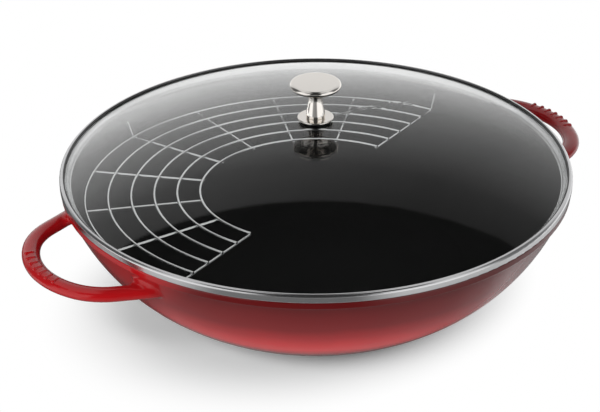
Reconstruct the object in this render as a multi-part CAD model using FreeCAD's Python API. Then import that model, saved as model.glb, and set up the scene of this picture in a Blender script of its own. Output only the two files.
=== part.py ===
"""Stove-top wok: enamelled iron bowl with two loop handles, domed glass lid and half-ring wire rack.

Millimetres. The origin is under the middle of the bowl, on the surface it stands on. +X runs through the
handles and +Z is up. Each sub-part is written to its own STEP file in parts/.
"""
import FreeCAD, Part

import math
import os

Vector = FreeCAD.Vector
SAME_HEIGHT = 1e-6

# ---------------------------------------------------------------- driving dimensions
# Bowl
RIM_RADIUS = 186.0          # outside of the upright rim
BOWL_HEIGHT = 96.0          # from the foot to the top of the rim
FOOT_RADIUS = 96.0          # flat foot
SIDE_RADIUS = 147.5         # curve of the side, seen in section
RIM_BAND = 5.0              # height of the rim that stands proud of the wall
RIM_PROUD = 2.6             # how far it stands proud
RIM_UNDERCUT = 1.2          # height of the slope under it
WALL = 3.8                  # thickness of the side
FLOOR = 5.0                 # thickness of the floor
FLOOR_BLEND = 60.0          # inside radius where the side meets the floor
RIM_THICKNESS = 5.6         # of the upright rim
RIM_BORE_DEPTH = 5.6        # depth of the upright rim, inside
LEDGE_DROP = 2.4            # height of the slope under it
RIM_ROUNDING = 1.2
RIM_LEAD_IN = 2.6           # rounding of the rim's inner edge, under the lid's funnel
FOOT_ROUNDING = 2.0

# Loop handles, cast with the bowl
HANDLE_REACH = 42.5         # from the rim to the outside of the loop
HANDLE_DROP = 17.6          # from the top of the rim to the middle of the bar
BAR_WIDTH = 12.8            # the bar is oval in section
BAR_HEIGHT = 9.4
CROWN_RADIUS = 66.0         # middle line of the loop, outer stretch
CROWN_HALF_ANGLE = 30.0
CORNER_RADIUS = 46.0        # middle line of the loop, corners
LEG_ANGLE = 22.0            # how far each leg leans from straight out
ROOT_DEPTH = 27.0           # how far the legs run in from the wall, before the bowl is hollowed
ROOT_FILLET = 4.5
RIB_COUNT = 7               # grip ribs on the top of each loop
RIB_PITCH_ANGLE = 6.2
RIB_LENGTH = 4.0
RIB_RADIUS = 1.7
RIB_OFFSET = 1.0            # middle of the ribs, outwards from the bar's middle line
RIB_SINK = 0.95             # rib axis below the top of the bar

# Lid
BAND_OVERHANG = 0.6         # steel band past the rim
BAND_SHEET = 0.8
BAND_HEIGHT = 6.0
BAND_BEVEL = 1.4            # 45 degree slope between the band's wall and its lip
BEVEL_ROUNDING = 1.6        # rounding at both ends of that slope
BAND_ROUNDING = 0.75        # rounding under the band
LIP_WIDTH = 2.6             # top lip of the band
LIP_ROUNDING = 0.2
FUNNEL_START = 4.6          # where the funnel into the bowl starts, in from the band's outside
FUNNEL_SLOPE = 30.0
SKIRT_CLEARANCE = 1.0       # between the skirt and the inside of the rim
SKIRT_DROP = 4.5            # how far the skirt reaches below the band
HEM = 0.8                   # extra thickness of the folded lower edge
HEM_HEIGHT = 2.0
GLASS = 3.4                 # thickness
GLASS_EDGE_WIDTH = 4.2      # flat edge of the glass and what holds it, in from the band's outside
GLASS_RISE = 35.6           # crown of the glass above its flat edge
SEAL_LEAF = 0.5             # thickness of the rim gasket over and under the glass
SEAL_LEAF_WIDTH = 3.7       # reach of those leaves, in from the band's outside
SEAL_WEB = 1.0              # thickness of the rim gasket outside the glass
SEAL_PLAY = 0.1             # radial play of glass, gasket and band

# Knob and its fastening
KNOB_HEAD_RADIUS = 18.5
KNOB_HEIGHT = 27.4
HEAD_EDGE = 2.3             # half the thickness of the head's rounded edge
HEAD_FLAT_RADIUS = 15.6     # gently crowned middle of the head
HEAD_CROWN = 0.4            # how far it bulges
HEAD_SLOPE = 0.05           # fall from there to the rounded edge
WAIST_RADIUS = 5.0
WAIST_HEIGHT = 15.5
STEM_FOOT_RADIUS = 7.0
STEM_FOOT_HEIGHT = 1.6
STEM_LEAN = 0.7             # how far the stem leans in over the first part of its curve
GROOVE_DEPTH = 0.5
GROOVE_HEIGHT = 0.6
STEM_PULL = 0.33            # shape of the stem's curve, as a share of its height
HEAD_PULL_UP = 0.65         # shape of the curve under the head, as shares of its height and reach
HEAD_PULL_IN = 0.6
FLANGE_RADIUS = 13.1
FLANGE_THICKNESS = 1.6
FLANGE_ROUNDING = 0.7
SOFT_WASHER = 1.0
SOFT_WASHER_RADIUS = 11.0
SOFT_WASHER_PLAY = 0.1      # between a soft washer and the glass
STEEL_WASHER = 1.2
STEEL_WASHER_RADIUS = 9.0
SCREW_RADIUS = 2.5
SCREW_CLEARANCE = 0.5       # between the screw and the parts it passes through
THREAD_PLAY = 0.05          # between the screw and the knob's threaded hole
SCREW_GRIP = 9.5            # how far the screw reaches into the knob
SCREW_HEAD_RADIUS = 4.6
SCREW_HEAD_HEIGHT = 3.0
SCREW_HEAD_ROUNDING = 1.5
SLOT_WIDTH = 1.2
SLOT_DEPTH = 1.4
HOLE_TIP = 2.0              # free depth of the threaded hole past the screw

# Rack
RACK_DROP = 18.6            # from the top of the rim to the cross wires' plane, on the axis
RACK_TILT = 1.8             # it lies a little aslant in the bowl
RACK_LOW_ANGLE = 64.7       # where it lies lowest, from +X
ARC_COUNT = 6
ARC_PITCH = 16.8
ARC_WIRE = 2.0              # diameter
ARC_WALL_GAP = 5.3          # from the outer arc's middle line to the bowl, were the rack level
CROSS_COUNT = 9
CROSS_WIRE = 2.3            # diameter
CROSS_OVERHANG = 0.9        # past the first and last arc
ARC_OVERHANG = 1.2          # of each arc past the middle of the first and last cross wire
RACK_START_ANGLE = 24.8     # first cross wire, from +X
RACK_SWEEP = 180.0
WELD_SINK = 0.3             # how far an arc sits in a cross wire
HOOK_TIP_DROP = 9.8         # from the top of the rim to the tips of the hooks
HOOK_BEND = 1.4             # middle radius of the bend
HOOK_PLAY = 0.3             # between a hook and the bowl

# ---------------------------------------------------------------- sizes that follow
RIM_LOW = BOWL_HEIGHT - RIM_BAND
RIM_BORE = RIM_RADIUS - RIM_THICKNESS
WALL_TOP_RADIUS = RIM_RADIUS - RIM_PROUD
WALL_TOP = RIM_LOW - RIM_UNDERCUT
HANDLE_Z = BOWL_HEIGHT - HANDLE_DROP
BAR_TOP = HANDLE_Z + BAR_HEIGHT / 2
CROWN_X = RIM_RADIUS + HANDLE_REACH - BAR_WIDTH / 2 - CROWN_RADIUS
LID_Z = BOWL_HEIGHT
BAND_RADIUS = RIM_RADIUS + BAND_OVERHANG
BAND_TOP = LID_Z + BAND_HEIGHT
LIP_RADIUS = BAND_RADIUS - LIP_WIDTH
SKIRT_RADIUS = RIM_BORE - SKIRT_CLEARANCE
SEAL_INNER_RADIUS = BAND_RADIUS - SEAL_LEAF_WIDTH
GLASS_EDGE_TOP = BAND_TOP - BAND_SHEET - SEAL_LEAF
GASKET_RADIUS = BAND_RADIUS - BAND_SHEET - SEAL_PLAY
INNER_BEVEL = BAND_BEVEL - BAND_SHEET * math.tan(math.radians(22.5))
GLASS_RADIUS = GASKET_RADIUS - SEAL_WEB - SEAL_PLAY
DOME_RADIUS = BAND_RADIUS - GLASS_EDGE_WIDTH
DOME_SPHERE = (DOME_RADIUS ** 2 + GLASS_RISE ** 2) / (2 * GLASS_RISE)
DOME_CENTRE_Z = GLASS_EDGE_TOP + GLASS_RISE - DOME_SPHERE
CROWN_TOP = GLASS_EDGE_TOP + GLASS_RISE
CROWN_UNDER = CROWN_TOP - GLASS
FLANGE_Z = CROWN_TOP + SOFT_WASHER
KNOB_Z = FLANGE_Z + FLANGE_THICKNESS
STEEL_WASHER_Z = CROWN_UNDER - SOFT_WASHER - STEEL_WASHER
SCREW_HEAD_Z = STEEL_WASHER_Z - SCREW_HEAD_HEIGHT
SCREW_HOLE = SCREW_RADIUS + SCREW_CLEARANCE
SCREW_TOP = KNOB_Z + SCREW_GRIP
RACK_Z = BOWL_HEIGHT - RACK_DROP
ARC_Z = RACK_Z + CROSS_WIRE / 2 + ARC_WIRE / 2 - WELD_SINK
HOOK_TIP_Z = BOWL_HEIGHT - HOOK_TIP_DROP
CROSS_PITCH_ANGLE = RACK_SWEEP / (CROSS_COUNT - 1)


# ---------------------------------------------------------------- helpers
def at(radius, z):
    """A point of a section drawn in the XZ plane."""
    return Vector(radius, 0, z)


def line(start, end):
    return Part.LineSegment(start, end).toShape()


def arc(start, middle, end):
    return Part.Arc(start, middle, end).toShape()


def arc_about(centre, start, end):
    """The short arc from start to end about centre."""
    radius = (start - centre).Length
    middle = (start - centre) + (end - centre)
    middle.normalize()
    return arc(start, centre + middle * radius, end)


def chain(corners):
    """Edges through (point, rounding) corners. The first and last rounding are not used."""
    edges = []
    last = corners[0][0]
    for before, corner, after in zip(corners, corners[1:], corners[2:]):
        point, rounding = corner
        if rounding <= 0:
            edges.append(line(last, point))
            last = point
            continue
        back = (before[0] - point).normalize()
        ahead = (after[0] - point).normalize()
        half = back.getAngle(ahead) / 2
        setback = rounding / math.tan(half)
        centre = point + (back + ahead).normalize() * (rounding / math.sin(half))
        start = point + back * setback
        end = point + ahead * setback
        edges.append(line(last, start))
        edges.append(arc_about(centre, start, end))
        last = end
    edges.append(line(last, corners[-1][0]))
    return edges


def turned(edges):
    """The solid that a closed section sweeps round the Z axis."""
    face = Part.Face(Part.Wire(edges))
    return face.revolve(Vector(0, 0, 0), Vector(0, 0, 1), 360)


def turned_outline(corners):
    """As turned, for a section given as rounded corners, closed back to the first."""
    return turned(chain(corners + [corners[0]]))


def disc(radius, z_low, z_high):
    return Part.makeCylinder(radius, z_high - z_low, Vector(0, 0, z_low))


def one_solid(shape):
    """The single solid of a boolean result, with faces that lie on one surface joined."""
    shape = shape.removeSplitter()
    if len(shape.Solids) != 1:
        raise ValueError("expected one solid, found %d" % len(shape.Solids))
    return shape.Solids[0]


def rings_at(shape, z):
    """Full-circle edges of a turned solid at a height."""
    rings = [edge for edge in shape.Edges if len(edge.Vertexes) == 1]
    return [edge for edge in rings if abs(edge.BoundBox.Center.z - z) < SAME_HEIGHT]


def polar(radius, angle, z):
    """A point at an angle in degrees from +X."""
    turn = math.radians(angle)
    return Vector(radius * math.cos(turn), radius * math.sin(turn), z)


def save(shape, node):
    if not shape.isValid():
        raise ValueError(node + " is not a valid shape")
    shape.exportStep("parts/" + node + ".step")


# ---------------------------------------------------------------- bowl
def side_centre():
    """Centre of the side's curve in section: it passes the foot's edge and the top of the wall."""
    foot = at(FOOT_RADIUS, 0)
    top = at(WALL_TOP_RADIUS, WALL_TOP)
    chord = top - foot
    square = Vector(-chord.z, 0, chord.x).normalize()
    rise = math.sqrt(SIDE_RADIUS ** 2 - (chord.Length / 2) ** 2)
    return foot + chord * 0.5 + square * rise


SIDE_CENTRE = side_centre()


def inner_wall_radius(z):
    """Inside radius of the bowl's side at a height."""
    reach = (SIDE_RADIUS - WALL) ** 2 - (SIDE_CENTRE.z - z) ** 2
    return SIDE_CENTRE.x + math.sqrt(reach)


def bowl_plug():
    """The bowl's outside, not yet hollowed."""
    foot = at(FOOT_RADIUS, 0)
    wall_top = at(WALL_TOP_RADIUS, WALL_TOP)
    edges = [line(at(0, 0), foot), arc_about(SIDE_CENTRE, foot, wall_top)]
    edges += chain([
        (wall_top, 0),
        (at(RIM_RADIUS, RIM_LOW), RIM_ROUNDING),
        (at(RIM_RADIUS, BOWL_HEIGHT), RIM_ROUNDING),
        (at(0, BOWL_HEIGHT), 0),
        (at(0, 0), 0),
    ])
    plug = turned(edges)
    return plug.makeFillet(FOOT_ROUNDING, rings_at(plug, 0))


def bowl_hollow():
    """The space inside the bowl, open upwards."""
    inner = SIDE_RADIUS - WALL
    blend_reach = (inner - FLOOR_BLEND) ** 2 - (SIDE_CENTRE.z - FLOOR - FLOOR_BLEND) ** 2
    blend_centre = at(SIDE_CENTRE.x + math.sqrt(blend_reach), FLOOR + FLOOR_BLEND)
    floor_edge = at(blend_centre.x, FLOOR)
    side_start = SIDE_CENTRE + (blend_centre - SIDE_CENTRE).normalize() * inner
    ledge_low = BOWL_HEIGHT - RIM_BORE_DEPTH - LEDGE_DROP
    side_end = at(inner_wall_radius(ledge_low), ledge_low)
    above = BOWL_HEIGHT + RIM_ROUNDING
    bore_top = at(RIM_BORE, BOWL_HEIGHT - RIM_LEAD_IN)
    edges = [
        line(at(0, FLOOR), floor_edge),
        arc_about(blend_centre, floor_edge, side_start),
        arc_about(SIDE_CENTRE, side_start, side_end),
    ]
    edges += chain([
        (side_end, 0),
        (at(RIM_BORE, BOWL_HEIGHT - RIM_BORE_DEPTH), RIM_ROUNDING),
        (bore_top, 0),
    ])
    flare_end = at(RIM_BORE + RIM_LEAD_IN, BOWL_HEIGHT)
    edges.append(arc_about(bore_top + at(RIM_LEAD_IN, 0), bore_top, flare_end))
    edges += chain([(flare_end, 0), (at(flare_end.x, above), 0), (at(0, above), 0), (at(0, FLOOR), 0)])
    return turned(edges)


def loop_path():
    """Middle line of the loop on +X, from one root to the other."""
    crown = Vector(CROWN_X, 0, HANDLE_Z)
    lean = math.radians(CROWN_HALF_ANGLE)
    leg = math.radians(LEG_ANGLE)
    shift = CROWN_RADIUS - CORNER_RADIUS
    corner = crown + Vector(shift * math.cos(lean), shift * math.sin(lean), 0)
    crown_end = crown + Vector(CROWN_RADIUS * math.cos(lean), CROWN_RADIUS * math.sin(lean), 0)
    corner_end = corner + Vector(CORNER_RADIUS * math.sin(leg), CORNER_RADIUS * math.cos(leg), 0)
    root_x = WALL_TOP_RADIUS - ROOT_DEPTH
    root = corner_end + Vector(-1, math.tan(leg), 0) * (corner_end.x - root_x)

    def mirrored(point):
        return Vector(point.x, -point.y, point.z)

    return Part.Wire([
        line(mirrored(root), mirrored(corner_end)),
        arc_about(mirrored(corner), mirrored(corner_end), mirrored(crown_end)),
        arc(mirrored(crown_end), crown + Vector(CROWN_RADIUS, 0, 0), crown_end),
        arc_about(corner, crown_end, corner_end),
        line(corner_end, root),
    ])


def bar_section(start, direction):
    """Oval section of the bar, square to its direction."""
    across = direction.cross(Vector(0, 0, 1)).normalize() * (BAR_WIDTH / 2)
    up = Vector(0, 0, BAR_HEIGHT / 2)
    return Part.Wire([Part.Ellipse(start + across, start + up, start).toShape()])


def grip_ribs():
    """Round-ended ribs across the top of the loop on +X."""
    ribs = []
    middle = (RIB_COUNT - 1) / 2
    near = CROWN_RADIUS + RIB_OFFSET - RIB_LENGTH / 2
    far = CROWN_RADIUS + RIB_OFFSET + RIB_LENGTH / 2
    shift = Vector(CROWN_X, 0, 0)
    for index in range(RIB_COUNT):
        angle = (index - middle) * RIB_PITCH_ANGLE
        start = polar(near, angle, BAR_TOP - RIB_SINK) + shift
        end = polar(far, angle, BAR_TOP - RIB_SINK) + shift
        rod = Part.makeCylinder(RIB_RADIUS, RIB_LENGTH, start, end - start)
        ribs += [rod, Part.makeSphere(RIB_RADIUS, start), Part.makeSphere(RIB_RADIUS, end)]
    return ribs


def loop_handle():
    """The loop on +X, with its legs running into the wall."""
    path = loop_path()
    first = path.OrderedEdges[0]
    start = first.Vertexes[0].Point
    direction = first.Vertexes[1].Point - start
    return path.makePipeShell([bar_section(start, direction)], True, False)


def root_edges(casting):
    """Edges where the legs meet the curved side of the bowl."""
    found = []
    for edge in casting.Edges:
        faces = casting.ancestorsOfType(edge, Part.Face)
        on_side = [isinstance(face.Surface, Part.SurfaceOfRevolution) for face in faces]
        level = abs(edge.BoundBox.Center.z - HANDLE_Z) < BAR_HEIGHT
        if level and any(on_side) and not all(on_side):
            found.append(edge)
    return found


def wok_body():
    loop = loop_handle()
    other = loop.mirror(Vector(0, 0, 0), Vector(1, 0, 0))
    casting = bowl_plug().fuse([loop, other]).removeSplitter()
    casting = casting.makeFillet(ROOT_FILLET, root_edges(casting))
    ribs = grip_ribs()
    ribs += [rib.mirror(Vector(0, 0, 0), Vector(1, 0, 0)) for rib in ribs]
    return one_solid(casting.fuse(ribs).cut(bowl_hollow()))


# ---------------------------------------------------------------- lid
def dome(radius):
    """Ball about the centre of the dome's curve."""
    return Part.makeSphere(radius, Vector(0, 0, DOME_CENTRE_Z))


def lid_glass():
    centre = at(0, DOME_CENTRE_Z)
    under = DOME_SPHERE - GLASS

    def on_dome(radius, sphere):
        return at(radius, DOME_CENTRE_Z + math.sqrt(sphere ** 2 - radius ** 2))

    edge_under = GLASS_EDGE_TOP - GLASS
    under_radius = math.sqrt(under ** 2 - (edge_under - DOME_CENTRE_Z) ** 2)
    edges = [arc_about(centre, on_dome(SCREW_HOLE, DOME_SPHERE), at(DOME_RADIUS, GLASS_EDGE_TOP))]
    edges += chain([
        (at(DOME_RADIUS, GLASS_EDGE_TOP), 0),
        (at(GLASS_RADIUS, GLASS_EDGE_TOP), SEAL_LEAF),
        (at(GLASS_RADIUS, edge_under), SEAL_LEAF),
        (at(under_radius, edge_under), 0),
    ])
    edges.append(arc_about(centre, at(under_radius, edge_under), on_dome(SCREW_HOLE, under)))
    edges.append(line(on_dome(SCREW_HOLE, under), on_dome(SCREW_HOLE, DOME_SPHERE)))
    return turned(edges)


def lid_rim_band():
    """Rolled sheet: top lip, outer wall, seat on the rim, funnel into the bowl, and a skirt with a hem."""
    wall_in = BAND_RADIUS - BAND_SHEET
    seat_top = LID_Z + BAND_SHEET
    skirt_in = SKIRT_RADIUS - BAND_SHEET
    skirt_low = LID_Z - SKIRT_DROP
    hem_top = skirt_low + HEM_HEIGHT
    slope = math.tan(math.radians(FUNNEL_SLOPE))
    funnel_low = BAND_RADIUS - FUNNEL_START
    funnel_high = funnel_low - BAND_SHEET * math.tan(math.radians(FUNNEL_SLOPE / 2))
    return turned_outline([
        (at(BAND_RADIUS, LID_Z + BAND_HEIGHT / 2), 0),
        (at(BAND_RADIUS, BAND_TOP - BAND_BEVEL), BEVEL_ROUNDING),
        (at(BAND_RADIUS - BAND_BEVEL, BAND_TOP), BEVEL_ROUNDING),
        (at(LIP_RADIUS, BAND_TOP), LIP_ROUNDING),
        (at(LIP_RADIUS, BAND_TOP - BAND_SHEET), 0),
        (at(wall_in - INNER_BEVEL, BAND_TOP - BAND_SHEET), 0),
        (at(wall_in, BAND_TOP - BAND_SHEET - INNER_BEVEL), 0),
        (at(wall_in, seat_top), 0),
        (at(funnel_high, seat_top), 0),
        (at(skirt_in, seat_top - (funnel_high - skirt_in) * slope), BAND_SHEET),
        (at(skirt_in, hem_top), 0),
        (at(skirt_in - HEM, hem_top), 0),
        (at(skirt_in - HEM, skirt_low), HEM / 2),
        (at(SKIRT_RADIUS, skirt_low), HEM / 2),
        (at(SKIRT_RADIUS, LID_Z - (funnel_low - SKIRT_RADIUS) * slope), 0),
        (at(funnel_low, LID_Z), 0),
        (at(BAND_RADIUS, LID_Z), BAND_ROUNDING),
    ])


def rim_gasket():
    """Channel of soft black rubber over the edge of the glass."""
    low = LID_Z + BAND_SHEET
    high = BAND_TOP - BAND_SHEET
    web_in = GLASS_RADIUS + SEAL_PLAY
    return turned_outline([
        (at(GASKET_RADIUS, low), 0),
        (at(GASKET_RADIUS, high - INNER_BEVEL), 0),
        (at(GASKET_RADIUS - INNER_BEVEL, high), 0),
        (at(SEAL_INNER_RADIUS, high), 0),
        (at(SEAL_INNER_RADIUS, high - SEAL_LEAF), 0),
        (at(web_in, high - SEAL_LEAF), 0),
        (at(web_in, low + SEAL_LEAF), 0),
        (at(SEAL_INNER_RADIUS, low + SEAL_LEAF), 0),
        (at(SEAL_INNER_RADIUS, low), 0),
    ])


def knob_seal_top():
    """Soft washer, dished underneath to the crown of the glass."""
    low = CROWN_TOP - SOFT_WASHER
    washer = disc(SOFT_WASHER_RADIUS, low, FLANGE_Z)
    bore = disc(SCREW_HOLE, low, FLANGE_Z)
    return one_solid(washer.cut(dome(DOME_SPHERE + SOFT_WASHER_PLAY)).cut(bore))


def knob_seal_bottom():
    """Soft washer, domed on top to the underside of the glass."""
    low = CROWN_UNDER - SOFT_WASHER
    washer = disc(SOFT_WASHER_RADIUS, low, CROWN_UNDER)
    bore = disc(SCREW_HOLE, low, CROWN_UNDER)
    return one_solid(washer.common(dome(DOME_SPHERE - GLASS - SOFT_WASHER_PLAY)).cut(bore))


def knob_washer():
    low = STEEL_WASHER_Z
    high = low + STEEL_WASHER
    return disc(STEEL_WASHER_RADIUS, low, high).cut(disc(SCREW_HOLE, low, high))


def knob_flange():
    """Round plate under the knob, with a rounded edge."""
    return turned_outline([
        (at(SCREW_HOLE, FLANGE_Z), 0),
        (at(FLANGE_RADIUS, FLANGE_Z), FLANGE_ROUNDING),
        (at(FLANGE_RADIUS, KNOB_Z), FLANGE_ROUNDING),
        (at(SCREW_HOLE, KNOB_Z), 0),
    ])


def stem_curve(low, high):
    """Side of the stem: flared at the foot, upright at the waist."""
    rise = (high.z - low.z) * STEM_PULL
    curve = Part.BezierCurve()
    curve.setPoles([low, low + at(-STEM_LEAN, rise), high - at(0, rise), high])
    return curve.toShape()


def head_curve(low, high):
    """Underside of the head: upright at the stem, level at the head's edge."""
    up = at(0, (high.z - low.z) * HEAD_PULL_UP)
    inwards = at((high.x - low.x) * HEAD_PULL_IN, 0)
    curve = Part.BezierCurve()
    curve.setPoles([low, low + up, high - inwards, high])
    return curve.toShape()


def lid_knob():
    """Mushroom knob: flared foot with a groove, waist, and a broad head with a rounded edge."""
    top = at(0, KNOB_Z + KNOB_HEIGHT)
    crown_sphere = (HEAD_FLAT_RADIUS ** 2 + HEAD_CROWN ** 2) / (2 * HEAD_CROWN)
    shoulder = at(HEAD_FLAT_RADIUS, top.z - HEAD_CROWN)
    edge_middle = at(KNOB_HEAD_RADIUS, shoulder.z - HEAD_EDGE)
    edge_top = at(KNOB_HEAD_RADIUS - HEAD_EDGE, shoulder.z - HEAD_SLOPE)
    edge_under = at(KNOB_HEAD_RADIUS - HEAD_EDGE, edge_middle.z - HEAD_EDGE)
    hole = SCREW_RADIUS + THREAD_PLAY
    hole_top = SCREW_TOP + HOLE_TIP
    foot_top = KNOB_Z + STEM_FOOT_HEIGHT
    groove_top = foot_top + GROOVE_HEIGHT
    groove_radius = STEM_FOOT_RADIUS - GROOVE_DEPTH
    stem_foot = at(STEM_FOOT_RADIUS, groove_top)
    waist = at(WAIST_RADIUS, KNOB_Z + WAIST_HEIGHT)
    edges = chain([
        (at(hole, KNOB_Z), 0),
        (at(STEM_FOOT_RADIUS, KNOB_Z), GROOVE_DEPTH),
        (at(STEM_FOOT_RADIUS, foot_top), 0),
        (at(groove_radius, foot_top), 0),
        (at(groove_radius, groove_top), 0),
        (stem_foot, 0),
    ])
    edges += [stem_curve(stem_foot, waist), head_curve(waist, edge_under)]
    edges += [arc(edge_under, edge_middle, edge_top), line(edge_top, shoulder)]
    edges.append(arc_about(top - at(0, crown_sphere), shoulder, top))
    edges += chain([
        (top, 0),
        (at(0, hole_top), 0),
        (at(hole, hole_top), 0),
        (at(hole, KNOB_Z), 0),
    ])
    return turned(edges)


def knob_screw():
    """Pan-head screw, slotted from below."""
    head = disc(SCREW_HEAD_RADIUS, SCREW_HEAD_Z, STEEL_WASHER_Z)
    head = head.makeFillet(SCREW_HEAD_ROUNDING, rings_at(head, SCREW_HEAD_Z))
    shank = disc(SCREW_RADIUS, SCREW_HEAD_Z + SLOT_DEPTH, SCREW_TOP)
    corner = Vector(-SCREW_HEAD_RADIUS, -SLOT_WIDTH / 2, SCREW_HEAD_Z)
    slot = Part.makeBox(2 * SCREW_HEAD_RADIUS, SLOT_WIDTH, SLOT_DEPTH, corner)
    return one_solid(head.fuse(shank).cut(slot))


# ---------------------------------------------------------------- rack
ARC_OUTER_RADIUS = inner_wall_radius(RACK_Z) - ARC_WALL_GAP
ARC_INNER_RADIUS = ARC_OUTER_RADIUS - (ARC_COUNT - 1) * ARC_PITCH


def arc_wire(radius):
    """One half-round wire, its ends a little past the outer cross wires, tilted with the rack."""
    axis = Vector(0, 0, 1)
    past = math.degrees(ARC_OVERHANG / radius)
    section = Part.Wire([Part.makeCircle(ARC_WIRE / 2, at(radius, ARC_Z), Vector(0, 1, 0))])
    wire = Part.Face(section).revolve(Vector(0, 0, 0), axis, RACK_SWEEP + 2 * past)
    wire = wire.rotated(Vector(0, 0, 0), axis, RACK_START_ANGLE - past)
    return wire.rotated(at(0, RACK_Z), polar(1, RACK_LOW_ANGLE + 90, 0), RACK_TILT)


def rise_outwards(angle):
    """Slope of a radial wire in the tilted rack."""
    return -math.tan(math.radians(RACK_TILT)) * math.cos(math.radians(angle - RACK_LOW_ANGLE))


def hook_line(low):
    """Straight stretch of a hook in section, from a height up to its tip: a point and its direction."""
    wall_low = at(inner_wall_radius(low), low)
    wall_high = at(inner_wall_radius(HOOK_TIP_Z), HOOK_TIP_Z)
    along = (wall_high - wall_low).normalize()
    inward = Vector(-along.z, 0, along.x)
    return wall_low + inward * (CROSS_WIRE / 2 + HOOK_PLAY), along


def cross_path(rise, hooked):
    """Middle line of a cross wire in section, from its inner end outwards."""
    def on_wire(radius):
        return at(radius, RACK_Z + rise * radius)

    inner_end = on_wire(ARC_INNER_RADIUS - CROSS_OVERHANG)
    if not hooked:
        return [line(inner_end, on_wire(ARC_OUTER_RADIUS + CROSS_OVERHANG))]
    foot, along = hook_line(on_wire(ARC_OUTER_RADIUS).z)
    corner_radius = foot.x + along.x * (on_wire(foot.x).z - foot.z) / (along.z - rise * along.x)
    corner = on_wire(corner_radius)
    tip = foot + along * ((HOOK_TIP_Z - foot.z) / along.z)
    return chain([(inner_end, 0), (corner, HOOK_BEND), (tip, 0)])


def cross_wire(index, arcs):
    """One radial wire, notched where the arcs sit in it."""
    angle = RACK_START_ANGLE + index * CROSS_PITCH_ANGLE
    middle = (CROSS_COUNT - 1) // 2
    path = cross_path(rise_outwards(angle), index in (0, middle, CROSS_COUNT - 1))
    start = path[0].Vertexes[0].Point
    ahead = path[0].Vertexes[1].Point - start
    section = Part.Wire([Part.makeCircle(CROSS_WIRE / 2, start, ahead)])
    wire = Part.Solid(Part.Wire(path).makePipeShell([section], True, False))
    wire.rotate(Vector(0, 0, 0), Vector(0, 0, 1), angle)
    return one_solid(wire.cut(arcs))


# ---------------------------------------------------------------- build
os.makedirs("parts", exist_ok=True)

save(wok_body(), "wok_body")
for make in (lid_glass, lid_rim_band, rim_gasket, lid_knob, knob_flange,
             knob_seal_top, knob_seal_bottom, knob_washer, knob_screw):
    save(make(), make.__name__)

rack_arcs = [arc_wire(ARC_INNER_RADIUS + index * ARC_PITCH) for index in range(ARC_COUNT)]
for index, wire in enumerate(rack_arcs):
    save(wire, "rack_arc_%d" % (index + 1))
for index in range(CROSS_COUNT):
    save(cross_wire(index, rack_arcs), "rack_cross_%d" % (index + 1))
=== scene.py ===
# %% [markdown]
# # A wok with a glass lid and a wire rack
#
# The solids come ready made from the CAD model, at their real size and place: an enamelled iron bowl with
# two loop handles, a domed glass lid in a steel band, a turned knob, and a half-ring wire rack. The work
# here is the surface of each one, the weld marks on the rack, and a studio that suits glass and glossy
# enamel.
#
# Lengths are metres. The origin is under the middle of the bowl, +X runs through the handles and +Z is up.

# %% Load the solids
import math

import bmesh
import bpy
from mathutils import Matrix, Vector


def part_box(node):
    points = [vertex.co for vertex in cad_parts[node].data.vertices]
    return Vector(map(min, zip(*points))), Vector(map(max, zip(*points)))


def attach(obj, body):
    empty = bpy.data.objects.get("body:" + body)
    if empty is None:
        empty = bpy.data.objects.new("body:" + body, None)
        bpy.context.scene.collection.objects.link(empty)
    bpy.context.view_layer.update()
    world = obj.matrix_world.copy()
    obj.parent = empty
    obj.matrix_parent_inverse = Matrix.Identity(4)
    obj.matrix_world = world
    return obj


MM = 0.001

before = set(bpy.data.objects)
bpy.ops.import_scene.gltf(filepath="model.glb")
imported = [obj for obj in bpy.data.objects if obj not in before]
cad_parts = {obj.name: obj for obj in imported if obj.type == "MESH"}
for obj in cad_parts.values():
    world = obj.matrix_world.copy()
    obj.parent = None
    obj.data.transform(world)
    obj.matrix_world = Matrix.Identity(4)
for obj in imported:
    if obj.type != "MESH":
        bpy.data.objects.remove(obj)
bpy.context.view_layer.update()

# %% [markdown]
# ## The camera
#
# A long lens from 1.3 m away keeps the round rim from looking stretched. The camera stands to the left of
# the front, so the left handle comes forwards, and looks down on the glass. Its turn is built from three
# plain angles: the heading over the floor, the pitch down, and a slight roll.

# %% Camera
CAMERA_PLACE = Vector((-0.6058, -0.9699, 0.6947))
CAMERA_HEADING = math.radians(31.4)    # from +Y towards +X
CAMERA_PITCH = math.radians(28.845)    # below the horizon
CAMERA_ROLL = math.radians(-0.44)
CAMERA_LENS = 105.54                   # millimetres, as is the sensor
CAMERA_SENSOR = 36.0

camera_data = bpy.data.cameras.new("camera")
camera_data.lens = CAMERA_LENS
camera_data.sensor_width = CAMERA_SENSOR
camera = bpy.data.objects.new("camera", camera_data)
bpy.context.scene.collection.objects.link(camera)
turn = (
    Matrix.Rotation(-CAMERA_HEADING, 4, "Z")
    @ Matrix.Rotation(math.pi / 2 - CAMERA_PITCH, 4, "X")
    @ Matrix.Rotation(CAMERA_ROLL, 4, "Z")
)
camera.matrix_world = Matrix.Translation(CAMERA_PLACE) @ turn
bpy.context.scene.camera = camera
bpy.context.scene.view_settings.view_transform = "Standard"
print("camera", [round(v, 3) for v in camera.location], "lens", camera_data.lens)


# %% [markdown]
# ## Helpers for shader nodes
#
# Every finish below is a small node tree. The first helper adds a node, sets its fields, and wires or fills
# its inputs by name. The next ones wrap it for what comes back most: sums, vectors, colours, noise and
# bump. The last two make a material and give it to solids.

# %% Node helpers
MIX_FIRST, MIX_SECOND, MIX_RESULT = 6, 7, 2    # a Mix node's colour sockets, whose names others share


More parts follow.
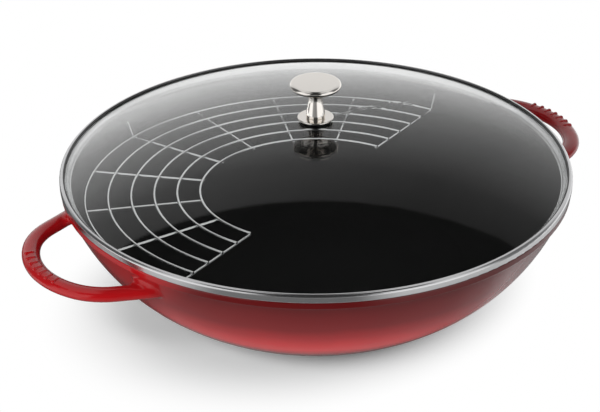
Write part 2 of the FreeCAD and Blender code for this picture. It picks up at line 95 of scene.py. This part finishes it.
def add_node(tree, kind, inputs=None, **fields):
    """Add a node. inputs maps a socket's name or number to a value, or to the socket that feeds it."""
    node = tree.nodes.new(kind)
    for field, value in fields.items():
        setattr(node, field, value)
    for key, value in (inputs or {}).items():
        if isinstance(value, bpy.types.NodeSocket):
            tree.links.new(value, node.inputs[key])
        else:
            node.inputs[key].default_value = value
    return node


def calculate(tree, operation, *values):
    """A Math node, as its output socket."""
    return add_node(tree, "ShaderNodeMath", dict(enumerate(values)), operation=operation).outputs[0]


def combine(tree, operation, *vectors):
    """A Vector Math node on vectors alone, as its output socket."""
    node = add_node(tree, "ShaderNodeVectorMath", dict(enumerate(vectors)), operation=operation)
    return node.outputs["Value" if operation == "LENGTH" else "Vector"]


def scaled(tree, vector, factor):
    """A vector or colour times a number, as a socket."""
    inputs = {0: vector, "Scale": factor}
    return add_node(tree, "ShaderNodeVectorMath", inputs, operation="SCALE").outputs["Vector"]


def split(tree, vector):
    """A vector's parts, as sockets named X, Y and Z."""
    return add_node(tree, "ShaderNodeSeparateXYZ", {0: vector}).outputs


def surface_place(tree):
    """The place on the object, in metres, as a socket."""
    return add_node(tree, "ShaderNodeTexCoord").outputs["Object"]


def distance_from_axis(tree, place):
    """The distance from the Z axis, as a socket."""
    return combine(tree, "LENGTH", combine(tree, "MULTIPLY", place, (1, 1, 0)))


def spread(tree, share, at_zero, at_one):
    """From one number at 0 evenly to another at 1."""
    inputs = {"Value": share, "To Min": at_zero, "To Max": at_one}
    return add_node(tree, "ShaderNodeMapRange", inputs).outputs[0]


def smooth_step(tree, value, start, end):
    """0 below start and 1 above end."""
    inputs = {"Value": value, "From Min": start, "From Max": end}
    return add_node(tree, "ShaderNodeMapRange", inputs, interpolation_type="SMOOTHSTEP").outputs[0]


def blend_colours(tree, share, first, second):
    """The first colour at 0 and the second at 1, as a socket."""
    inputs = {"Factor": share, MIX_FIRST: first, MIX_SECOND: second}
    return add_node(tree, "ShaderNodeMix", inputs, data_type="RGBA").outputs[MIX_RESULT]


def grey(level):
    return (level, level, level, 1.0)


def ramp(tree, share, *stops):
    """A colour ramp through (place, colour) stops, as its colour socket."""
    node = add_node(tree, "ShaderNodeValToRGB", {"Fac": share})
    elements = node.color_ramp.elements
    while len(elements) < len(stops):
        elements.new(0.5)
    for element, (place, colour) in zip(elements, stops):
        element.position = place
        element.color = colour
    return node.outputs["Color"]


def noise(tree, place, scale, detail):
    """A noise texture's level, in blotches about 1 / scale across."""
    inputs = {"Vector": place, "Scale": scale, "Detail": detail}
    return add_node(tree, "ShaderNodeTexNoise", inputs).outputs["Fac"]


def bump(tree, height, strength, distance):
    """The surface's direction over bumps that are distance metres high, as a socket."""
    inputs = {"Strength": strength, "Distance": distance, "Height": height}
    return add_node(tree, "ShaderNodeBump", inputs).outputs["Normal"]


def new_finish(name, **settings):
    """A material with one Principled shader. Settings are its sockets, with _ for a space."""
    material = bpy.data.materials.new(name)
    material.use_nodes = True
    shader = material.node_tree.nodes["Principled BSDF"]
    for key, value in settings.items():
        shader.inputs[key.replace("_", " ")].default_value = value
    return material, material.node_tree, shader


def paint(finish, *nodes):
    """Give CAD nodes a finish."""
    for name in nodes:
        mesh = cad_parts[name].data
        mesh.materials.clear()
        mesh.materials.append(finish)


# %% [markdown]
# ## The studio
#
# Glass and chrome show the room more than themselves, so the room matters. A studio sets up a different one
# for each, with flags and panels, and Light Path can do the same: only perfectly smooth glass makes
# singular rays. A ray that has crossed four faces of glass has been inside the lid and out again, by way of
# the rack, so it counts as metal's. A camera ray that misses everything sees plain white.
#
# Both rooms have the same four walls, turned with the camera's heading. That is a fixed angle here, so the
# room stays where it is when the view changes. Looked at from the object, the height on a wall is z divided
# by the larger of |x| and |y|, so one division turns a direction into a place on four walls, and a straight
# line across them is where the ceiling starts.
#
# - Glass sees walls that are brightest near the floor and fade upwards, with a panel on each side of the
#   camera.
# - Metal and enamel see what stands round the object at each angle: the gap where the camera is, a bright
#   panel on each side of it, a black flag on the far left and right, and an even wall at the back. The
#   edges between them draw the black and white lines on a polished curve. Matt surfaces are lit by these
#   walls too.
#
# The ceiling is dark, with two exceptions. Metal and enamel have a bright panel over the half that is away
# from the camera, with a dark gap down its middle, and rays that have been inside the lid see an even,
# lighter one.

# %% Studio walls
CEILING_LINE = 1.32           # height over distance where the walls end
SMALLEST = 0.001              # keeps a divisor from being zero
ROOM_GAIN = 1.15              # for the rays that light matt surfaces

# What glass sees. LEAN makes its back wall brighter to the left: the fall per sideways over away, within
# limits.
GLASS_STOPS = ((0.0, 1.0), (0.16, 0.94), (0.30, 0.76), (0.62, 0.52), (0.90, 0.27), (1.28, 0.19))
LEAN = 0.9
LEAN_LIMITS = (0.65, 1.9)
PANEL_STOPS = ((0.50, 0.05), (0.66, 0.95))    # its front wall, by sideways over towards the camera

# What metal and enamel see.
METAL_AROUND = (              # degrees from the camera, positive to its right, and level
    (-140, 0.80), (-118, 0.10), (-88, 0.10), (-76, 0.95), (-30, 0.95), (-22, 0.05),
    (22, 0.05), (30, 0.95), (74, 0.95), (86, 0.18), (112, 0.18), (136, 0.80),
)
METAL_FADE = 0.35             # how much darker the walls are where they end

CEILING_LEVEL = 0.03
SHEEN_CEILING = 0.65          # the panel over metal and enamel
SHEEN_AWAY = (-0.40, -0.10)   # where that panel starts and is full, by away over up
SHEEN_GAP = (0.08, 0.22)      # where the gap down its middle ends, by sideways over up
LID_CEILING = 0.60            # for rays that have been inside the lid
INSIDE_THE_LID = 3.5          # they have made more crossings of glass than this


def turn_to_camera(tree, vector):
    """Its parts across the camera's heading and along it, as sockets: X to the right and Y away."""
    inputs = {"Vector": vector, "Angle": CAMERA_HEADING}
    return split(tree, add_node(tree, "ShaderNodeVectorRotate", inputs, rotation_type="Z_AXIS").outputs[0])


def around_ramp(tree, parts, around):
    """Levels by the angle round the object, given in degrees from the camera."""
    towards = calculate(tree, "MULTIPLY", parts["Y"], -1.0)
    angle = calculate(tree, "ARCTAN2", parts["X"], towards)
    share = calculate(tree, "MULTIPLY_ADD", angle, 0.5 / math.pi, 0.5)
    return ramp(tree, share, *[(angle / 360 + 0.5, grey(level)) for angle, level in around])


def walls_for_glass(tree, parts, across, share):
    """share is the height on the wall, from 0 at the object's to 1 where it ends."""
    stops = [(height / CEILING_LINE, grey(level)) for height, level in GLASS_STOPS]
    walls = ramp(tree, share, *stops)
    lean = calculate(tree, "DIVIDE", parts["X"], calculate(tree, "MAXIMUM", parts["Y"], SMALLEST))
    lean = calculate(tree, "MULTIPLY_ADD", lean, -LEAN, 1.0)
    lean = calculate(tree, "MINIMUM", calculate(tree, "MAXIMUM", lean, LEAN_LIMITS[0]), LEAN_LIMITS[1])
    towards = calculate(tree, "MULTIPLY", parts["Y"], -1.0)
    sideways = calculate(tree, "DIVIDE", across, calculate(tree, "MAXIMUM", towards, SMALLEST))
    panels = ramp(tree, sideways, *[(place, grey(level)) for place, level in PANEL_STOPS])
    in_front = calculate(tree, "GREATER_THAN", towards, 0.0)
    return blend_colours(tree, in_front, scaled(tree, walls, lean), panels)


def walls_for_metal(tree, parts, share):
    """share is the same height again."""
    fall = calculate(tree, "MULTIPLY_ADD", calculate(tree, "MAXIMUM", share, 0.0), -METAL_FADE, 1.0)
    return scaled(tree, around_ramp(tree, parts, METAL_AROUND), fall)


def ceiling_levels(tree, parts, across, metal_sees, been_inside):
    """metal_sees and been_inside are 1 for the rays that they name and 0 for others."""
    upwards = calculate(tree, "MAXIMUM", parts["Z"], SMALLEST)
    panel = metal_sees
    for part, limits in ((parts["Y"], SHEEN_AWAY), (across, SHEEN_GAP)):
        covered = smooth_step(tree, calculate(tree, "DIVIDE", part, upwards), *limits)
        panel = calculate(tree, "MULTIPLY", panel, covered)
    ceiling = blend_colours(tree, panel, grey(CEILING_LEVEL), grey(SHEEN_CEILING))
    return blend_colours(tree, been_inside, ceiling, grey(LID_CEILING))


world = bpy.data.worlds.new("studio")
bpy.context.scene.world = world
world.use_nodes = True
tree = world.node_tree
parts = turn_to_camera(tree, add_node(tree, "ShaderNodeTexCoord").outputs["Generated"])
across = calculate(tree, "ABSOLUTE", parts["X"])
along = calculate(tree, "ABSOLUTE", parts["Y"])
height = calculate(tree, "DIVIDE", parts["Z"], calculate(tree, "MAXIMUM", across, along))
share = calculate(tree, "DIVIDE", height, CEILING_LINE)
below_ceiling = calculate(tree, "LESS_THAN", share, 1.0)

path = add_node(tree, "ShaderNodeLightPath").outputs
not_glass = calculate(tree, "SUBTRACT", 1.0, path["Is Singular Ray"])
been_inside = calculate(tree, "GREATER_THAN", path["Transmission Depth"], INSIDE_THE_LID)
for_glass = walls_for_glass(tree, parts, across, share)
for_metal = walls_for_metal(tree, parts, share)
walls = blend_colours(tree, calculate(tree, "MAXIMUM", not_glass, been_inside), for_glass, for_metal)
metal_sees = calculate(tree, "MULTIPLY", not_glass, path["Is Glossy Ray"])
ceiling = ceiling_levels(tree, parts, across, metal_sees, been_inside)
room = blend_colours(tree, below_ceiling, ceiling, walls)
seen = blend_colours(tree, path["Is Camera Ray"], room, grey(1.0))
background = tree.nodes["Background"]
tree.links.new(seen, background.inputs["Color"])
tree.links.new(spread(tree, path["Is Diffuse Ray"], 1.0, ROOM_GAIN), background.inputs["Strength"])
print("walls end at", round(math.degrees(math.atan(CEILING_LINE)), 1), "degrees up")

# %% [markdown]
# The floor is a wide disc. Under and round the bowl it is an ordinary pale surface that takes the shadow.
# Outwards it turns into plain white, so it meets the white of the background and no horizon shows. That
# white is painted light that cuts the shadow short. The shadow's outline, where the white cuts it, is
# longer along X, as the bowl with its handles is, and set a little off the middle.
#
# Reflections, and what is seen through the glass, have a darker floor close by, as through a polarising
# filter, which keeps deep enamel from looking milky. Farther out the panels' light and dark are carried on
# over it.

# %% Floor
FLOOR_RADIUS = 20.0
FLOOR_SIDES = 64
FLOOR_COLOUR = 0.85           # as light that falls on the object finds it
FLOOR_SEEN = 1.08             # as the camera finds it, to make up for the studio's dark parts
FLOOR_MIRRORED = 0.38         # as reflections and glass find it close by

# Where the floor turns white for the camera, metres from the shadow's middle along Y.
WHITE_FROM = 0.094
WHITE_TO = 0.160
SHADOW_STRETCH = 1.25         # along X over along Y
SHADOW_MIDDLE = (-0.020, 0.001, 0.0)

# The same for reflections and glass, from the origin.
MIRRORED_FROM = 0.22
MIRRORED_TO = 0.50

# What reflections and glass find there, by degrees from the camera, positive to its right: close by as a
# share of FLOOR_MIRRORED, and farther out as a level. The second takes over from the first between two
# distances.
NEAR_AROUND = (
    (-100, 0.4), (-88, 0.2), (-66, 0.3), (-50, 0.9), (10, 1.1), (45, 1.2),
    (58, 1.8), (70, 3.6), (92, 3.0), (112, 1.0),
)
FAR_AROUND = (
    (-150, 1.0), (-135, 0.15), (-98, 0.15), (-84, 1.0), (-46, 1.0), (-32, 0.30),
    (-8, 0.22), (12, 0.22), (26, 1.0), (180, 1.0),
)
AROUND_FROM = 0.24
AROUND_TO = 0.34


def outward_fade(tree, place, start, end, stretch=1.0, middle=(0.0, 0.0, 0.0)):
    """0 inside start and 1 beyond end, as distance over the floor."""
    squeezed = combine(tree, "MULTIPLY", combine(tree, "SUBTRACT", place, middle), (1 / stretch, 1, 1))
    return smooth_step(tree, combine(tree, "LENGTH", squeezed), start, end)


floor_mesh = bpy.data.meshes.new("floor")
builder = bmesh.new()
bmesh.ops.create_circle(builder, cap_ends=True, radius=FLOOR_RADIUS, segments=FLOOR_SIDES)
builder.to_mesh(floor_mesh)
builder.free()
floor = bpy.data.objects.new("floor", floor_mesh)
bpy.context.scene.collection.objects.link(floor)

floor_finish = bpy.data.materials.new("floor")
floor_finish.use_nodes = True
tree = floor_finish.node_tree
tree.nodes.clear()
path = add_node(tree, "ShaderNodeLightPath").outputs
mirrored = calculate(tree, "MAXIMUM", path["Is Glossy Ray"], path["Is Transmission Ray"])
place = surface_place(tree)
parts = turn_to_camera(tree, place)

beyond = outward_fade(tree, place, AROUND_FROM, AROUND_TO)
around = blend_colours(
    tree, beyond, around_ramp(tree, parts, NEAR_AROUND), around_ramp(tree, parts, FAR_AROUND)
)
around = blend_colours(tree, mirrored, grey(1.0), around)

colour = blend_colours(tree, path["Is Camera Ray"], grey(FLOOR_COLOUR), grey(FLOOR_SEEN))
colour = blend_colours(tree, mirrored, colour, grey(FLOOR_MIRRORED))
colour = combine(tree, "MULTIPLY", colour, around)
lit_white = blend_colours(tree, path["Is Diffuse Ray"], grey(1.0), grey(FLOOR_COLOUR))
lit_white = combine(tree, "MULTIPLY", lit_white, around)
plain = add_node(tree, "ShaderNodeBsdfDiffuse", {"Color": colour})
white = add_node(tree, "ShaderNodeEmission", {"Color": lit_white})

# Painted white that cuts the floor's shadow short.
near_fade = outward_fade(tree, place, WHITE_FROM, WHITE_TO, SHADOW_STRETCH, SHADOW_MIDDLE)
far_fade = outward_fade(tree, place, MIRRORED_FROM, MIRRORED_TO)
fade = add_node(tree, "ShaderNodeMix", {"Factor": mirrored, "A": near_fade, "B": far_fade}).outputs[0]
surface = add_node(tree, "ShaderNodeMixShader", {0: fade, 1: plain.outputs[0], 2: white.outputs[0]})
add_node(tree, "ShaderNodeOutputMaterial", {"Surface": surface.outputs[0]})
floor_mesh.materials.append(floor_finish)
print("floor", FLOOR_RADIUS * 2, "m across")


# %% [markdown]
# Two large lamps join the light of the walls: one overhead, and one low on the left that models the round
# handles. Their shadows are soft, and they stay out of reflections and out of what is seen through glass: a
# glossy dome would show them as white patches.

# %% Lamps
LAMPS = (    # name, place, side in metres, and power in watts
    ("overhead", (-0.30, 0.15, 1.9), 1.6, 5),
    ("left_key", (-1.05, -0.50, 0.70), 0.6, 11),
)


def soft_box(name, place, side, power):
    """A square area lamp aimed at the object."""
    data = bpy.data.lights.new(name, "AREA")
    data.shape = "SQUARE"
    data.size = side
    data.energy = power
    lamp = bpy.data.objects.new(name, data)
    bpy.context.scene.collection.objects.link(lamp)
    lamp.location = place
    lamp.rotation_mode = "QUATERNION"
    lamp.rotation_quaternion = (-Vector(place)).to_track_quat("-Z", "Y")
    lamp.visible_camera = False
    lamp.visible_glossy = False
    lamp.visible_transmission = False


for lamp_settings in LAMPS:
    soft_box(*lamp_settings)

# %% [markdown]
# ## Enamel
#
# The bowl and its handles are one iron casting, dipped in glass enamel: clear deep red outside, black
# inside. One mesh carries both, so the material has to know which side of the wall it is on. In section the
# wall is an arc, and a point is inside when it is nearer to the arc's centre than the middle of the wall
# is. The small hollow between the foot and the floor of the bowl is told apart by its height.
#
# Enamel isn't flat paint. It flows, so its colour varies softly and its surface has a faint orange peel,
# and it has a hard clear gloss, which is the shader's coat. The inside is a little duller and has no such
# coat. The outside's red also carries painted light and shade: brighter low on the side and on the loops,
# darker up at the rim and nearly black under the bowl.
#
# Light that bounces off the red would tint the shadow under the bowl. A large white studio drowns that
# tint, so here such light finds a plain grey.

# %% Enamel
SIDE_RADIUS = 147.5 * MM      # outside of the wall, in section
WALL = 3.8 * MM
SIDE_CENTRE_R = 44.01 * MM    # the arc's centre, from the axis
SIDE_CENTRE_Z = 138.03 * MM
FLOOR_MIDDLE = 2.5 * MM       # half the thickness of the bowl's floor

# The red by height, with painted light and shade in it: nearly black under the bowl, painted shade that
# also keeps red light off the floor's shadow; brightest low on the side, painted light from the floor; and
# darkest at the rim, painted shade under the lid's band.
RED_AND_SHADE_BY_HEIGHT = (
    (14 * MM, (0.05, 0.0020, 0.0025, 1.0)),
    (36 * MM, (0.80, 0.014, 0.019, 1.0)),
    (45 * MM, (0.60, 0.010, 0.014, 1.0)),
    (55 * MM, (0.36, 0.005, 0.008, 1.0)),
    (67 * MM, (0.18, 0.0025, 0.0038, 1.0)),
    (78 * MM, (0.14, 0.0015, 0.0024, 1.0)),
    (90 * MM, (0.09, 0.0010, 0.0016, 1.0)),
)
FLOW = {"Scale": 22.0, "Detail": 3.0, "Roughness": 0.55}
RED_SWING = 0.05              # how far the flow of the enamel shifts that height, as a share of the ramp

# The loops, and the side of the bowl next to them, get a lighter red than the rest of the rim: painted
# light, as they face up to the lamps.
LOOP_LIT_RED = (0.34, 0.0045, 0.0065, 1.0)
LOOP_FROM = 155 * MM          # how far along X their own red starts
LOOP_TO = 178 * MM

BOUNCE_GREY = grey(0.15)
BLACK_ENAMEL = grey(0.008)
RED_ROUGHNESS = 0.3           # under the coat
BLACK_ROUGHNESS = 0.55
PEEL_SCALE = 260.0
PEEL_STRENGTH = 0.25
PEEL_HEIGHT = 0.04 * MM


def inside_mask(tree, place):
    """1 on the inside of the bowl and 0 on the outside, from the place on the surface."""
    up = split(tree, place)["Z"]
    run = calculate(tree, "SUBTRACT", distance_from_axis(tree, place), SIDE_CENTRE_R)
    rise = calculate(tree, "SUBTRACT", up, SIDE_CENTRE_Z)
    section = add_node(tree, "ShaderNodeCombineXYZ", {"X": run, "Y": rise}).outputs[0]
    within = calculate(tree, "LESS_THAN", combine(tree, "LENGTH", section), SIDE_RADIUS - WALL / 2)
    above_floor = calculate(tree, "GREATER_THAN", up, FLOOR_MIDDLE)
    return calculate(tree, "MULTIPLY", within, above_floor)


def red_enamel_with_painted_light(tree, place):
    """The outside's colour, by height with painted light and shade, with the flow of the glass and painted
    light on the loops.
    """
    parts = split(tree, place)
    low, high = RED_AND_SHADE_BY_HEIGHT[0][0], RED_AND_SHADE_BY_HEIGHT[-1][0]
    inputs = {"Value": parts["Z"], "From Min": low, "From Max": high}
    share = add_node(tree, "ShaderNodeMapRange", inputs, clamp=False).outputs[0]
    flow = add_node(tree, "ShaderNodeTexNoise", {"Vector": place, **FLOW}).outputs["Fac"]
    swing = calculate(tree, "MULTIPLY_ADD", flow, 2 * RED_SWING, -RED_SWING)
    # This ramp paints light and shade into the red by height.
    stops = [((z - low) / (high - low), colour) for z, colour in RED_AND_SHADE_BY_HEIGHT]
    red = ramp(tree, calculate(tree, "ADD", share, swing), *stops)
    # The loops' lighter red is painted light.
    loop_light_share = smooth_step(tree, calculate(tree, "ABSOLUTE", parts["X"]), LOOP_FROM, LOOP_TO)
    return blend_colours(tree, loop_light_share, red, LOOP_LIT_RED)


def enamel_finish():
    # The low IOR leaves the gloss to the coat, because the coat can be left off inside.
    material, tree, shader = new_finish("enamel", IOR=1.12, Coat_Roughness=0.03, Coat_IOR=1.5)
    place = surface_place(tree)
    inside = inside_mask(tree, place)
    outside = calculate(tree, "SUBTRACT", 1.0, inside)
    bounced = add_node(tree, "ShaderNodeLightPath").outputs["Is Diffuse Ray"]
    red = blend_colours(tree, bounced, red_enamel_with_painted_light(tree, place), BOUNCE_GREY)
    tree.links.new(blend_colours(tree, inside, red, BLACK_ENAMEL), shader.inputs["Base Color"])
    tree.links.new(outside, shader.inputs["Coat Weight"])
    tree.links.new(spread(tree, inside, RED_ROUGHNESS, BLACK_ROUGHNESS), shader.inputs["Roughness"])
    peel = calculate(tree, "MULTIPLY", noise(tree, place, PEEL_SCALE, 1.0), outside)
    normal = bump(tree, peel, PEEL_STRENGTH, PEEL_HEIGHT)
    tree.links.new(normal, shader.inputs["Normal"])
    tree.links.new(normal, shader.inputs["Coat Normal"])
    return material


paint(enamel_finish(), "wok_body")

# %% [markdown]
# ## Glass
#
# The lid is a solid dome of tempered glass, 3.4 mm thick, with real inner and outer surfaces, so it bends
# and doubles what is seen through it as real glass does. Only a trace of green is left in the colour.

# %% Glass
GLASS_COLOUR = (0.975, 0.985, 0.98, 1.0)

glass_finish, *_ = new_finish(
    "lid_glass", Base_Color=GLASS_COLOUR, Roughness=0.0, IOR=1.5, Transmission_Weight=1.0
)
paint(glass_finish, "lid_glass")


# %% [markdown]
# ## Metals
#
# All the metals share one recipe: full metallic, a pale warm or cool colour, and a low roughness that is
# broken up along the way the metal was worked. Strip that was rolled round the lid has lines that run round
# it, so its pattern is drawn in polar places: the angle is squeezed and the radius and height are
# stretched.

# %% Metals
METAL_BUMP = 0.5


def polar_place(tree, round_scale, cross_scale):
    """Places whose first axis runs round the Z axis, for lines that follow a turned or rolled piece."""
    place = surface_place(tree)
    parts = split(tree, place)
    inputs = {
        "X": calculate(tree, "MULTIPLY", calculate(tree, "ARCTAN2", parts["Y"], parts["X"]), round_scale),
        "Y": calculate(tree, "MULTIPLY", distance_from_axis(tree, place), cross_scale),
        "Z": calculate(tree, "MULTIPLY", parts["Z"], cross_scale),
    }
    return add_node(tree, "ShaderNodeCombineXYZ", inputs).outputs[0]


def worked_metal(name, colour, roughness, round_scale, cross_scale, bump_height):
    """Metal with fine lines that run round the Z axis. roughness is its lowest and highest."""
    material, tree, shader = new_finish(name, Base_Color=colour, Metallic=1.0)
    lines = noise(tree, polar_place(tree, round_scale, cross_scale), 1.0, 4.0)
    tree.links.new(spread(tree, lines, *roughness), shader.inputs["Roughness"])
    tree.links.new(bump(tree, lines, METAL_BUMP, bump_height), shader.inputs["Normal"])
    return material


band_steel = worked_metal(
    "band_steel",
    colour=(0.74, 0.74, 0.75, 1),
    roughness=(0.10, 0.24),
    round_scale=9.0,
    cross_scale=4200.0,
    bump_height=0.01 * MM,
)
knob_nickel = worked_metal(
    "knob_nickel",
    colour=(0.96, 0.92, 0.87, 1),
    roughness=(0.04, 0.10),
    round_scale=1.5,
    cross_scale=2600.0,
    bump_height=0.003 * MM,
)
paint(band_steel, "lid_rim_band", "knob_washer", "knob_screw")
paint(knob_nickel, "lid_knob", "knob_flange")


# %% [markdown]
# ## Black rubber
#
# The gasket that holds the glass in its band and the two soft washers are black, with the satin surface of
# moulded rubber and a fine grain.

# %% Rubber
RUBBER_GREYS = (0.036, 0.052)
RUBBER_STOPS = (0.3, 0.7)     # the levels of the grain that they belong to
RUBBER_GRAIN = 900.0
RUBBER_BUMP = 0.3
RUBBER_HEIGHT = 0.03 * MM


def rubber_finish():
    material, tree, shader = new_finish("black_rubber", Roughness=0.32, Specular_IOR_Level=0.6)
    grain = noise(tree, surface_place(tree), RUBBER_GRAIN, 2.0)
    colour = ramp(tree, grain, *zip(RUBBER_STOPS, map(grey, RUBBER_GREYS)))
    tree.links.new(colour, shader.inputs["Base Color"])
    tree.links.new(bump(tree, grain, RUBBER_BUMP, RUBBER_HEIGHT), shader.inputs["Normal"])
    return material


paint(rubber_finish(), "rim_gasket", "knob_seal_top", "knob_seal_bottom")


# %% [markdown]
# ## Rack
#
# The rack is drawn wire, spot welded and then chrome plated. Plating is bright, with small soft waves from
# the drawn wire under it.

# %% Rack chrome
CHROME_COLOUR = (0.93, 0.935, 0.94, 1)
CHROME_ROUGHNESS = (0.05, 0.12)
CHROME_WAVES = 420.0
CHROME_BUMP = 0.3
CHROME_HEIGHT = 0.02 * MM
ARC_COUNT = 6
CROSS_COUNT = 9


def chrome_finish():
    material, tree, shader = new_finish("rack_chrome", Base_Color=CHROME_COLOUR, Metallic=1.0)
    waves = noise(tree, surface_place(tree), CHROME_WAVES, 2.0)
    tree.links.new(spread(tree, waves, *CHROME_ROUGHNESS), shader.inputs["Roughness"])
    tree.links.new(bump(tree, waves, CHROME_BUMP, CHROME_HEIGHT), shader.inputs["Normal"])
    return material


arc_names = ["rack_arc_%d" % (index + 1) for index in range(ARC_COUNT)]
cross_names = ["rack_cross_%d" % (index + 1) for index in range(CROSS_COUNT)]
rack_chrome = chrome_finish()
paint(rack_chrome, *arc_names, *cross_names)

# %% [markdown]
# Spot welding squeezes a little metal out of each crossing. Fifty-four of these marks make one mesh: a
# small ball pressed flat where an arc lies on a cross wire. The arcs' radii and the cross wires' angles are
# read from the boxes of the solids, so the marks follow the model. The rack lies a little aslant in the
# bowl, and they lean with it.

# %% Weld marks
ARC_WIRE = 2.0 * MM
WELD_HALF_WIDTH = 1.45 * MM
WELD_HALF_HEIGHT = 0.55 * MM
ARC_UNDERSIDE = 0.85 * MM     # above the middle of the cross wires
RACK_MIDDLE = Vector((0, 0, 77.4 * MM))
RACK_TILT = math.radians(1.8)
RACK_LOW_ANGLE = math.radians(64.7)    # where it lies lowest, from +X


def arc_radius(name):
    """An arc is a half ring about Z that reaches +Y, so its box's far side in Y gives its radius."""
    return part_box(name)[1].y - ARC_WIRE / 2


def cross_angle(name):
    """A cross wire points away from the axis, so the middle of its box gives its angle from +X."""
    low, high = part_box(name)
    middle = (low + high) / 2
    return math.atan2(middle.y, middle.x)


tilt_axis = Vector((-math.sin(RACK_LOW_ANGLE), math.cos(RACK_LOW_ANGLE), 0))
tilt = Matrix.Translation(RACK_MIDDLE) @ Matrix.Rotation(RACK_TILT, 4, tilt_axis)
press = Matrix.Diagonal((WELD_HALF_WIDTH, WELD_HALF_WIDTH, WELD_HALF_HEIGHT, 1.0))
welds_mesh = bpy.data.meshes.new("rack_welds")
builder = bmesh.new()
for arc_name in arc_names:
    for cross_name in cross_names:
        swing = Matrix.Rotation(cross_angle(cross_name), 4, "Z")
        out = Matrix.Translation((arc_radius(arc_name), 0, ARC_UNDERSIDE))
        bmesh.ops.create_icosphere(builder, subdivisions=2, radius=1.0, matrix=tilt @ swing @ out @ press)
for face in builder.faces:
    face.smooth = True
builder.to_mesh(welds_mesh)
builder.free()
welds = bpy.data.objects.new("rack_welds", welds_mesh)
bpy.context.scene.collection.objects.link(welds)
welds_mesh.materials.append(rack_chrome)
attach(welds, "rack")
print("weld marks:", len(arc_names) * len(cross_names))
